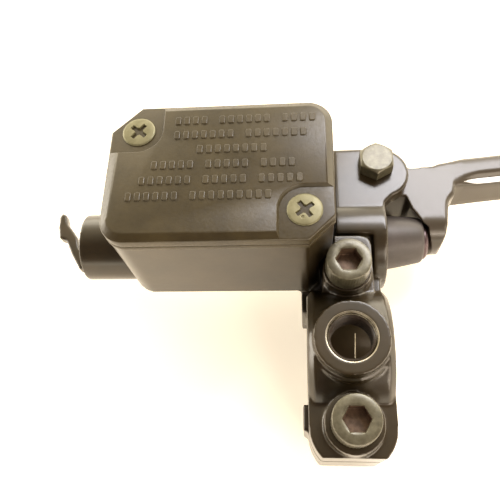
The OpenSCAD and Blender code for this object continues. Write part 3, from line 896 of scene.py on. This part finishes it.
@dataclass
class PivotBolt:
    """The hex head bolt that the lever turns on, and its nut under the bracket."""

    x: float = 9.2
    y: float = 49.1
    seat_z: float = 6.4
    flats: float = 8.2
    head_h: float = 4.0
    low_z: float = -22.4
    nut_z: float = -21.0
    nut_h: float = 5.0
    nut_flats: float = 10.0

    def build(self) -> None:
        """Makes the bolt and the nut."""
        a = np.linspace(0, 2 * np.pi, 144, endpoint=False)
        hexed = hexagon(a, self.flats)
        # the flat top's circle, from which the corners are chamfered down
        ring = self.flats / 2 * 0.94
        h = self.seat_z + self.head_h
        low, seat = self.low_z, self.seat_z
        rows: list[tuple[np.ndarray | float, np.ndarray | float]] = [
            (0.0, low), (2.5, low), (3.0, low + 0.5), (3.0, seat), (hexed - 0.12, seat), (hexed, seat + 0.15),
            (hexed, h - (hexed - ring) * 0.62 - 0.12), (hexed - 0.1, h - (hexed - ring) * 0.6),
            (ring + 0.08, h - 0.06), (ring - 0.1, h - 0.01), (ring - 0.3, h), (1.5, h - 0.03),
            (0.0, h - 0.03)]
        place_piece(Shell().add_rings(self.rings(rows, a), False, False).mesh("pivot_bolt_hex", 28), ZINC,
                    "housing", ["pivot_bolt"])
        z0, z1 = self.nut_z, self.nut_z + self.nut_h
        side = hexagon(a, self.nut_flats, 30.0)
        round_r = self.nut_flats / 2 - 0.25
        nut: list[tuple[np.ndarray | float, np.ndarray | float]] = [
            (3.02, z0 + 0.3), (3.4, z0), (round_r, z0), (side, z0 + (side - round_r) * 0.6),
            (side, z1 - (side - round_r) * 0.6), (round_r, z1), (3.4, z1), (3.02, z1 - 0.3)]
        place_piece(Shell().add_rings(self.rings(nut, a), closed=True).mesh("pivot_nut_hex", 28), ZINC,
                    "housing", ["pivot_nut"])

    def rings(self, rows: list[tuple[np.ndarray | float, np.ndarray | float]], a: np.ndarray) -> np.ndarray:
        """Rings about the pivot's axis.

        Args:
            rows: Pairs (radius, height) in millimetres, each a number or one per angle.
            a: Angles, in radians.

        Returns:
            Points in metres, shape (rows, angles, 3).
        """
        radius = np.stack([np.broadcast_to(np.asarray(r, float), a.shape) for r, _ in rows])
        height = np.stack([np.broadcast_to(np.asarray(z, float), a.shape) for _, z in rows])
        return np.stack([self.x + radius * np.cos(a), self.y + radius * np.sin(a), height], -1) * MM


# ---------------------------------------------------------------- the lever

@dataclass
class Lever:
    """The cast lever: a soft root from the CAD's hub and nose, and a clean ribbed blade ending in a ball."""

    nodes: dict
    pivot_x: float = 9.2
    reach: float = 152.0
    start_x: float = 33.0
    mid_z: float = -4.8
    ball_r: float = 8.5
    height_start: float = 12.2
    height_end: float = 9.8

    def build(self) -> None:
        """Makes the root, the blade and the painted highlight along the blade's ledge."""
        hub = welded(self.nodes["brake_lever"], drop_beyond=30.0 * MM)
        web = Shell().add_rings(self.web()).mesh("web")
        x = np.linspace(26.0, 41.0, 40)
        stub = Shell().add_rings(self.section(x, 1 - 0.16 * smooth_step(x, 33.5, 41.0))).mesh("stub")
        root = softened([hub, web, stub], "lever_root", 0.3 * MM, 5)
        set_coordinates(root, self.nose(coordinates(root)))
        root_x = coordinates(root)[:, 0] / MM
        near = smooth_step(root_x, 22.5, 25.5) * (1 - smooth_step(root_x, 28.5, 33.0))
        # the lever's paint is lightened: painted light for the glare that it catches
        place_piece(relaxed(root, near, 30, 0.7), LEVER_PAINT_LIGHTENED, "lever", ["brake_lever"])
        end_x = self.pivot_x + self.reach
        along = np.concatenate([np.linspace(32.8, end_x - 12, 132),
                                np.linspace(end_x - 11.5, end_x + self.ball_r - 0.01, 60)])
        place_piece(Shell().add_rings(self.section(along)).mesh("lever_blade", 50), LEVER_PAINT_LIGHTENED, "lever")
        # a near-white skin along the ledge: a painted highlight
        strip = np.linspace(31.5, end_x - 22, 110)
        place_piece(Shell().add_rings(self.ledge(strip)).mesh("lever_ledge_highlight", 50), LEDGE_HIGHLIGHT, "lever")

    def nose(self, co: np.ndarray) -> np.ndarray:
        """Pulls the nose back to its side outline: a quarter round of radius 7 over a short drop.

        A point in front of the outline's middle C keeps its direction from C across the lever, and
        comes no further out than the outline does in that direction.

        Args:
            co: The root's points, in metres.

        Returns:
            The moved points.
        """
        middle = np.array([36.6, -5.5])
        front = arc(*middle, 7.0, 90, 180, 16)
        foot = [[29.7, -7.2], [30.2, -9.2], [31.0, -10.4], [32.2, -11.0], [36.6, -11.1]]
        outline = np.concatenate([front, foot]) - middle
        steps = np.linspace(0, len(outline) - 1, 600)
        fine = np.column_stack([np.interp(steps, np.arange(len(outline)), outline[:, k]) for k in (0, 1)])
        across = co[:, 1:] / MM - middle
        angle = np.arctan2(across[:, 1], -across[:, 0])
        fine_angle, fine_r = np.arctan2(fine[:, 1], -fine[:, 0]), np.hypot(fine[:, 0], fine[:, 1])
        order = np.argsort(fine_angle)
        limit = np.interp(angle, fine_angle[order], fine_r[order])
        r = np.hypot(across[:, 0], across[:, 1])
        far = (across[:, 0] < 0) & (co[:, 0] > 21.0 * MM) & (r > limit)
        moved = co.copy()
        moved[far, 1:] = (middle + across[far] * (limit[far] / r[far])[:, None]) * MM
        return moved

    def web(self) -> np.ndarray:
        """The web between nose and blade: a plan outline extruded, its free corner a wide fillet.

        Returns:
            Points in metres, shape (heights, points, 3).
        """
        fillet = arc(32.4, 39.2, 4.4, 178, 122, 10)
        outline = np.concatenate([[[22.9, 33.6], [27.2, 33.6]], fillet,
                                  [[30.4, 50.2], [20.0, 49.0], [19.5, 43.0]]])
        rings = [np.column_stack([inset(outline, d), np.full(len(outline), z)])
                 for d, z in ((0.5, -10.9), (0.0, -10.4), (0.0, 1.0), (0.4, 1.42), (0.9, 1.5))]
        return np.stack(rings) * MM

    def centre_y(self, t: np.ndarray) -> np.ndarray:
        """Y of the blade's middle, 49.9 + 6.6 sin(115 t) - 13.5 t^3, t from 0 at the hub to 1 at the ball."""
        return 49.9 + 6.6 * np.sin(np.radians(115 * t)) - 13.5 * np.clip(t, 0, None) ** 3

    def limits(self, x: np.ndarray) -> tuple[np.ndarray, np.ndarray, np.ndarray]:
        """The blade's two edges and its height along it, all a little fuller where it leaves the hub.

        Args:
            x: Places along the blade, in millimetres.

        Returns:
            Y of the rider-side edge, Y of the far edge and the height, in millimetres.
        """
        t = (x - self.start_x) / (self.pivot_x + self.reach - self.start_x)
        width = 8 + 0.6 * np.clip(t, 0, 1)
        height = self.height_start + (self.height_end - self.height_start) * np.clip(t, 0, 1)
        height = height + 0.4 * (1 - smooth_step(x, 28.0, 40.0))
        near_hub = 1 - smooth_step(x, 26.0, 34.0)
        middle = self.centre_y(np.clip(t, None, 1.0))
        return middle - width / 2 - 1.6 * near_hub ** 2, middle + width / 2 - 0.6 * near_hub, height

    def section(self, x: np.ndarray, scale: np.ndarray | float = 1.0) -> np.ndarray:
        """Rings of the blade: a ribbed section carried along the curve, turning into a ball.

        The section's rib is full height at the back and rolls down to a ledge on the rider's
        side, which grows over the first few millimetres. Near the end it blends into circles of
        radius sqrt(R^2 - d^2), d being the distance to the ball's centre.

        Args:
            x: Places along the blade, in millimetres.
            scale: Size of the section about its own middle.

        Returns:
            Points in metres, shape (len(x), points, 3).
        """
        front, back, height = self.limits(x)
        grow = smooth_step(x, 28.5, 38.0)[:, None]
        # across the blade from its far side (0) to the rider's side (1), up, over the top and back below
        share = np.array([0, 0, 0, 0, 0, 0, 0.02, 0.07, 0.14, 0.30, 0.50, 0.56, 0.615, 0.665, 0.71, 0.745,
                          0.785, 0.90, 0.955, 0.99, 1, 1, 1, 1, 1, 1, 0.99, 0.95, 0.88, 0.7, 0.5, 0.3, 0.12,
                          0.05, 0.01])
        level = np.array([-0.42, -0.25, -0.08, 0.09, 0.26, 0.43, 0.465, 0.49, 0.5, 0.5, 0.5, 0.4955, 0.483,
                          0.463, 0.438, 0.412, 0.398, 0.394, 0.388, 0.375, 0.35, 0.2, 0.05, -0.1, -0.26,
                          -0.42, -0.455, -0.488, -0.5, -0.5, -0.5, -0.5, -0.5, -0.488, -0.455])
        # the same points where the blade is still plain, without its ledge
        plain = np.array([0, 0, 0, 0, 0, 0, 0.02, 0.07, 0.14, 0.30, 0.62, 0.68, 0.74, 0.79, 0.83, 0.865,
                          0.90, 0.94, 0.97, 0.99, 1, 1, 1, 1, 1, 1, 0.99, 0.95, 0.88, 0.7, 0.5, 0.3, 0.12,
                          0.05, 0.01])
        flat = np.array([-0.42, -0.25, -0.08, 0.09, 0.26, 0.43, 0.465, 0.49, 0.5, 0.5, 0.5, 0.5, 0.5, 0.5,
                         0.499, 0.497, 0.492, 0.48, 0.462, 0.44, 0.40, 0.23, 0.06, -0.1, -0.26, -0.42,
                         -0.455, -0.488, -0.5, -0.5, -0.5, -0.5, -0.5, -0.488, -0.455])
        s = plain + (share - plain) * grow
        h = flat + (level - flat) * grow
        middle = ((front + back) / 2)[:, None]
        across = (back[:, None] + (front - back)[:, None] * s - middle) * np.reshape(scale, (-1, 1))
        rise = height[:, None] * h * np.reshape(scale, (-1, 1))
        end_x = self.pivot_x + self.reach
        radius = np.sqrt(np.clip(self.ball_r ** 2 - (x - end_x) ** 2, 0, None))[:, None]
        blend = smooth_step(x, end_x - 11.0, end_x - 6.5)[:, None]
        turn = np.arctan2(level * 12, (share - 0.5) * -8)[None, :]
        across = across + (radius * np.cos(turn) - across) * blend
        rise = rise + (radius * np.sin(turn) - rise) * blend
        rings = np.stack([np.broadcast_to(x[:, None], across.shape), middle + across, self.mid_z + rise], -1)
        # back to front over the top is clockwise about +X, so the section is turned round
        return rings[:, ::-1] * MM

    def ledge(self, x: np.ndarray) -> np.ndarray:
        """The ledge's painted highlight: a thin near-white skin on the blade's ledge, narrowing away at both
        ends.

        Args:
            x: Places along the blade, in millimetres.

        Returns:
            Points in metres, shape (len(x), points, 3).
        """
        front, back, height = self.limits(x)
        fade = smooth_step(x, x[0], x[0] + 5) * (1 - smooth_step(x, x[-1] - 25, x[-1]))
        share = 0.86 + np.array([-0.085, -0.03, 0.04, 0.1, 0.1, 0.04, -0.03, -0.085]) * fade[:, None]
        grow = smooth_step(x, 28.5, 38.0)[:, None]
        level = 0.49 + (np.array([0.404, 0.4015, 0.3985, 0.393, 0.38, 0.38, 0.38, 0.38]) - 0.49) * grow
        y = back[:, None] + (front - back)[:, None] * share
        z = self.mid_z + height[:, None] * level
        return np.stack([np.broadcast_to(x[:, None], y.shape), y, z], -1)[:, ::-1] * MM


# ---------------------------------------------------------------- rubber, spring and small parts

@dataclass
class Boot:
    """The tapered rubber boot between the cylinder's mouth and the piston's tip."""

    bore_y: float = 32.0
    bore_z: float = -4.8
    mouth_x: float = 11.0
    keep: float = 0.41

    def build(self) -> None:
        """Makes the boot."""
        outer = [(6.7, 8.25), (8.2, 8.3), (8.3, 8.6), (8.3, 10.2), (7.9, 10.6), (7.25, 10.9), (7.18, 11.3),
                 (7.12, 12.2), (6.92, 13.8), (6.66, 15.8), (6.36, 18.0), (6.13, 19.5), (5.95, 20.35),
                 (5.7, 20.85), (5.3, 21.12), (4.85, 21.2)]
        inner = [(4.6, 21.1), (4.56, 20.8), (4.58, 19.5), (5.2, 18.6), (5.5, 16.0), (5.9, 13.0), (6.1, 11.0),
                 (6.3, 9.0)]
        rings = turned(outer + inner, Axis.X, (0, self.bore_y, self.bore_z), 96)
        # the soft end leans a little with the stem
        rings[..., 1] += 0.45 * MM * smooth_step(rings[..., 0] / MM, 12.0, 20.0)
        obj = place_piece(Shell().add_rings(rings, closed=True).mesh("dust_boot_rubber", 60), RUBBER,
                          "housing", ["dust_boot"])
        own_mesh(obj)


@dataclass
class ReturnSpring:
    """The coil spring between the bore's end and the piston."""

    bore_y: float = 32.0
    bore_z: float = -4.8
    coil_r: float = 4.4
    wire_r: float = 0.5
    x0: float = -49.2
    x1: float = -19.45
    turns: float = 10.0
    closeness: float = 0.495
    keep: float = 0.81

    def build(self) -> None:
        """Sweeps the wire round the bore's axis, the end coils closer than the rest.

        For s from 0 to 1: x = low + (high - low) (s - c sin(2 pi s) / (2 pi)) at radius coil_r
        and angle 2 pi turns s, with c the closeness of the end coils.
        """
        s = np.linspace(0, 1, 420)
        ease = s - self.closeness * np.sin(2 * np.pi * s) / (2 * np.pi)
        low, high = self.x0 + self.wire_r, self.x1 - self.wire_r
        turn = 2 * np.pi * self.turns * s
        b = np.linspace(0, 2 * np.pi, 10, endpoint=False)
        radial = self.coil_r + self.wire_r * np.cos(b)[None, :]
        x = (low + (high - low) * ease)[:, None] - self.wire_r * np.sin(b)[None, :]
        y = self.bore_y + radial * np.cos(turn)[:, None]
        z = self.bore_z + radial * np.sin(turn)[:, None]
        obj = place_piece(Shell().add_rings(np.stack([x, y, z], -1) * MM).mesh("return_spring_coil", 50),
                          SPRING_STEEL, "housing", ["return_spring"])
        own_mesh(obj)


@dataclass
class InnerParts:
    """CAD nodes whose shape is already right: they only get their finishes."""

    nodes: dict
    finishes: dict[str, Finish] = field(default_factory=lambda: {
        "diaphragm_plate": NYLON, "diaphragm": RUBBER, "port_shield": TURNED_STEEL, "piston": ANODISED,
        "primary_cup": RUBBER, "cup_shim": SPRING_STEEL, "secondary_cup": RUBBER,
        "spring_retainer": SPRING_STEEL, "stop_washer": SPRING_STEEL, "circlip": SPRING_STEEL,
        "pivot_sleeve": SPRING_STEEL})

    def build(self) -> None:
        """Gives each node its finish."""
        for name, finish in self.finishes.items():
            data = self.nodes[name].data
            data.materials.clear()
            data.materials.append(finish.material())
            LOG.info("%s: %s", name, finish.name)


# ---------------------------------------------------------------- floor, light and camera

@dataclass
class Studio:
    """A pale floor, a bright room round it, four soft lights and the camera."""

    floor_z: float

    def build(self) -> None:
        """Makes the floor, the lights and the camera."""
        self.floor()
        self.sky()
        self.box("soft_box", (142, 272, 400), (14, 44, 0), (238, 155), 1.4, "f8f8ff")
        self.box("left_box", (-450, 110, 88), (0, 20, 0), (420, 212), 1.15, "fff8ee")
        self.box("right_box", (290, -310, 290), (25, 30, 0), (400, 260), 1.6, "fff0dc")
        self.box("small_lamp", (150, -395, 300), (25, 30, 0), (40, 40), 0.1, "fff6ea")
        self.camera()
        bpy.context.scene.view_settings.view_transform = "Standard"
        bpy.context.scene.view_settings.look = "Medium High Contrast"

    def floor(self) -> None:
        """One wide flat board under the lowest point, lit a little from below like a light table."""
        half = 3.0
        corners = np.array([[-1, -1, 0], [1, -1, 0], [1, 1, 0], [-1, 1, 0]]) * half + [0, 0, self.floor_z]
        mesh = bpy.data.meshes.new("floor")
        mesh.from_pydata(corners.tolist(), [], [[0, 1, 2, 3]])
        board = PAPER.material()
        shader = board.node_tree.nodes["Principled BSDF"]
        shader.inputs["Emission Color"].default_value = linear("fff0d6")
        shader.inputs["Emission Strength"].default_value = 0.42
        mesh.materials.append(board)
        obj = bpy.data.objects.new("floor", mesh)
        bpy.context.scene.collection.objects.link(obj)
        obj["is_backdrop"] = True

    def sky(self) -> None:
        """A room: bright all round near the floor's level, dim overhead and dimmest above the rider.

        By the direction's y and z: a rises smoothly from 0 on the rider's side to 1 on the far
        side, and the ceiling takes over from the walls as z - 0.4 a goes from -0.1 to 0.32.
        """
        world = bpy.data.worlds.new("studio")
        world.use_nodes = True
        tree = world.node_tree
        way = add_node(tree, "ShaderNodeTexCoord")
        axes = add_node(tree, "ShaderNodeSeparateXYZ", links={"Vector": way.outputs["Generated"]})
        away = add_node(tree, "ShaderNodeMapRange", {"interpolation_type": "SMOOTHSTEP"}, {
            "From Min": -0.25, "From Max": 0.7}, {"Value": axes.outputs["Y"]})
        lifted = add_node(tree, "ShaderNodeMath", {"operation": "MULTIPLY_ADD"}, {1: -0.4}, {
            0: away.outputs["Result"], 2: axes.outputs["Z"]})
        up = add_node(tree, "ShaderNodeMapRange", {"interpolation_type": "SMOOTHSTEP"}, {
            "From Min": -0.1, "From Max": 0.32}, {"Value": lifted.outputs["Value"]})
        ceiling = add_node(tree, "ShaderNodeMix", {"data_type": "RGBA"}, {
            "A": (0.22, 0.17, 0.15, 1.0), "B": (1.35, 1.19, 0.88, 1.0)}, {"Factor": away.outputs["Result"]})
        room = add_node(tree, "ShaderNodeMix", {"data_type": "RGBA"}, {"A": (4.4, 4.05, 3.35, 1.0)}, {
            "Factor": up.outputs["Result"], "B": ceiling.outputs["Result"]})
        tree.links.new(room.outputs["Result"], tree.nodes["Background"].inputs["Color"])
        bpy.context.scene.world = world

    def box(self, name: str, place: tuple[float, float, float], aim: tuple[float, float, float],
            size: tuple[float, float], power: float, colour: str) -> None:
        """Adds a rectangular soft light.

        Args:
            name: Its name.
            place: Its middle, in millimetres.
            aim: The point it faces, in millimetres.
            size: Its two sides, in millimetres.
            power: Its power in watts.
            colour: Its colour, as sRGB hex.
        """
        lamp = bpy.data.lights.new(name, "AREA")
        lamp.shape, lamp.size, lamp.size_y = "RECTANGLE", size[0] * MM, size[1] * MM
        lamp.energy, lamp.color = power, linear(colour)[:3]
        obj = bpy.data.objects.new(name, lamp)
        bpy.context.scene.collection.objects.link(obj)
        start, end = Vector(place) * MM, Vector(aim) * MM
        obj.location = start
        obj.rotation_euler = (end - start).to_track_quat("-Z", "Y").to_euler()

    def camera(self) -> None:
        """A hand-held view from above the rider's side, with a normal lens."""
        lens = bpy.data.cameras.new("camera")
        lens.lens, lens.sensor_width, lens.clip_start = 40.68, 36.0, 0.005
        obj = bpy.data.objects.new("camera", lens)
        bpy.context.scene.collection.objects.link(obj)
        obj.location = (-10.17 * MM, -32.57 * MM, 134.2 * MM)
        obj.rotation_euler = (0.426, 0.090, 0.024)
        bpy.context.scene.camera = obj


def main() -> None:
    """Builds the object round its frame, part by part, then the studio."""
    logging.basicConfig(level=logging.INFO, format="%(name)s %(message)s")
    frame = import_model()
    cad_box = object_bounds()
    nodes = frame["nodes"]
    cap_low, cap_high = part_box("reservoir_cap")
    cap, studio = Cap(tuple(cap_low), tuple(cap_high)), Studio(float(cad_box[0][2]))
    for part in (Castings(nodes), cap, ClampBolts(), PivotBolt(), Lever(nodes), Boot(), ReturnSpring(),
                 InnerParts(nodes), studio):
        LOG.info("building %s", type(part).__name__)
        part.build()


if __name__ == "__main__":
    main()
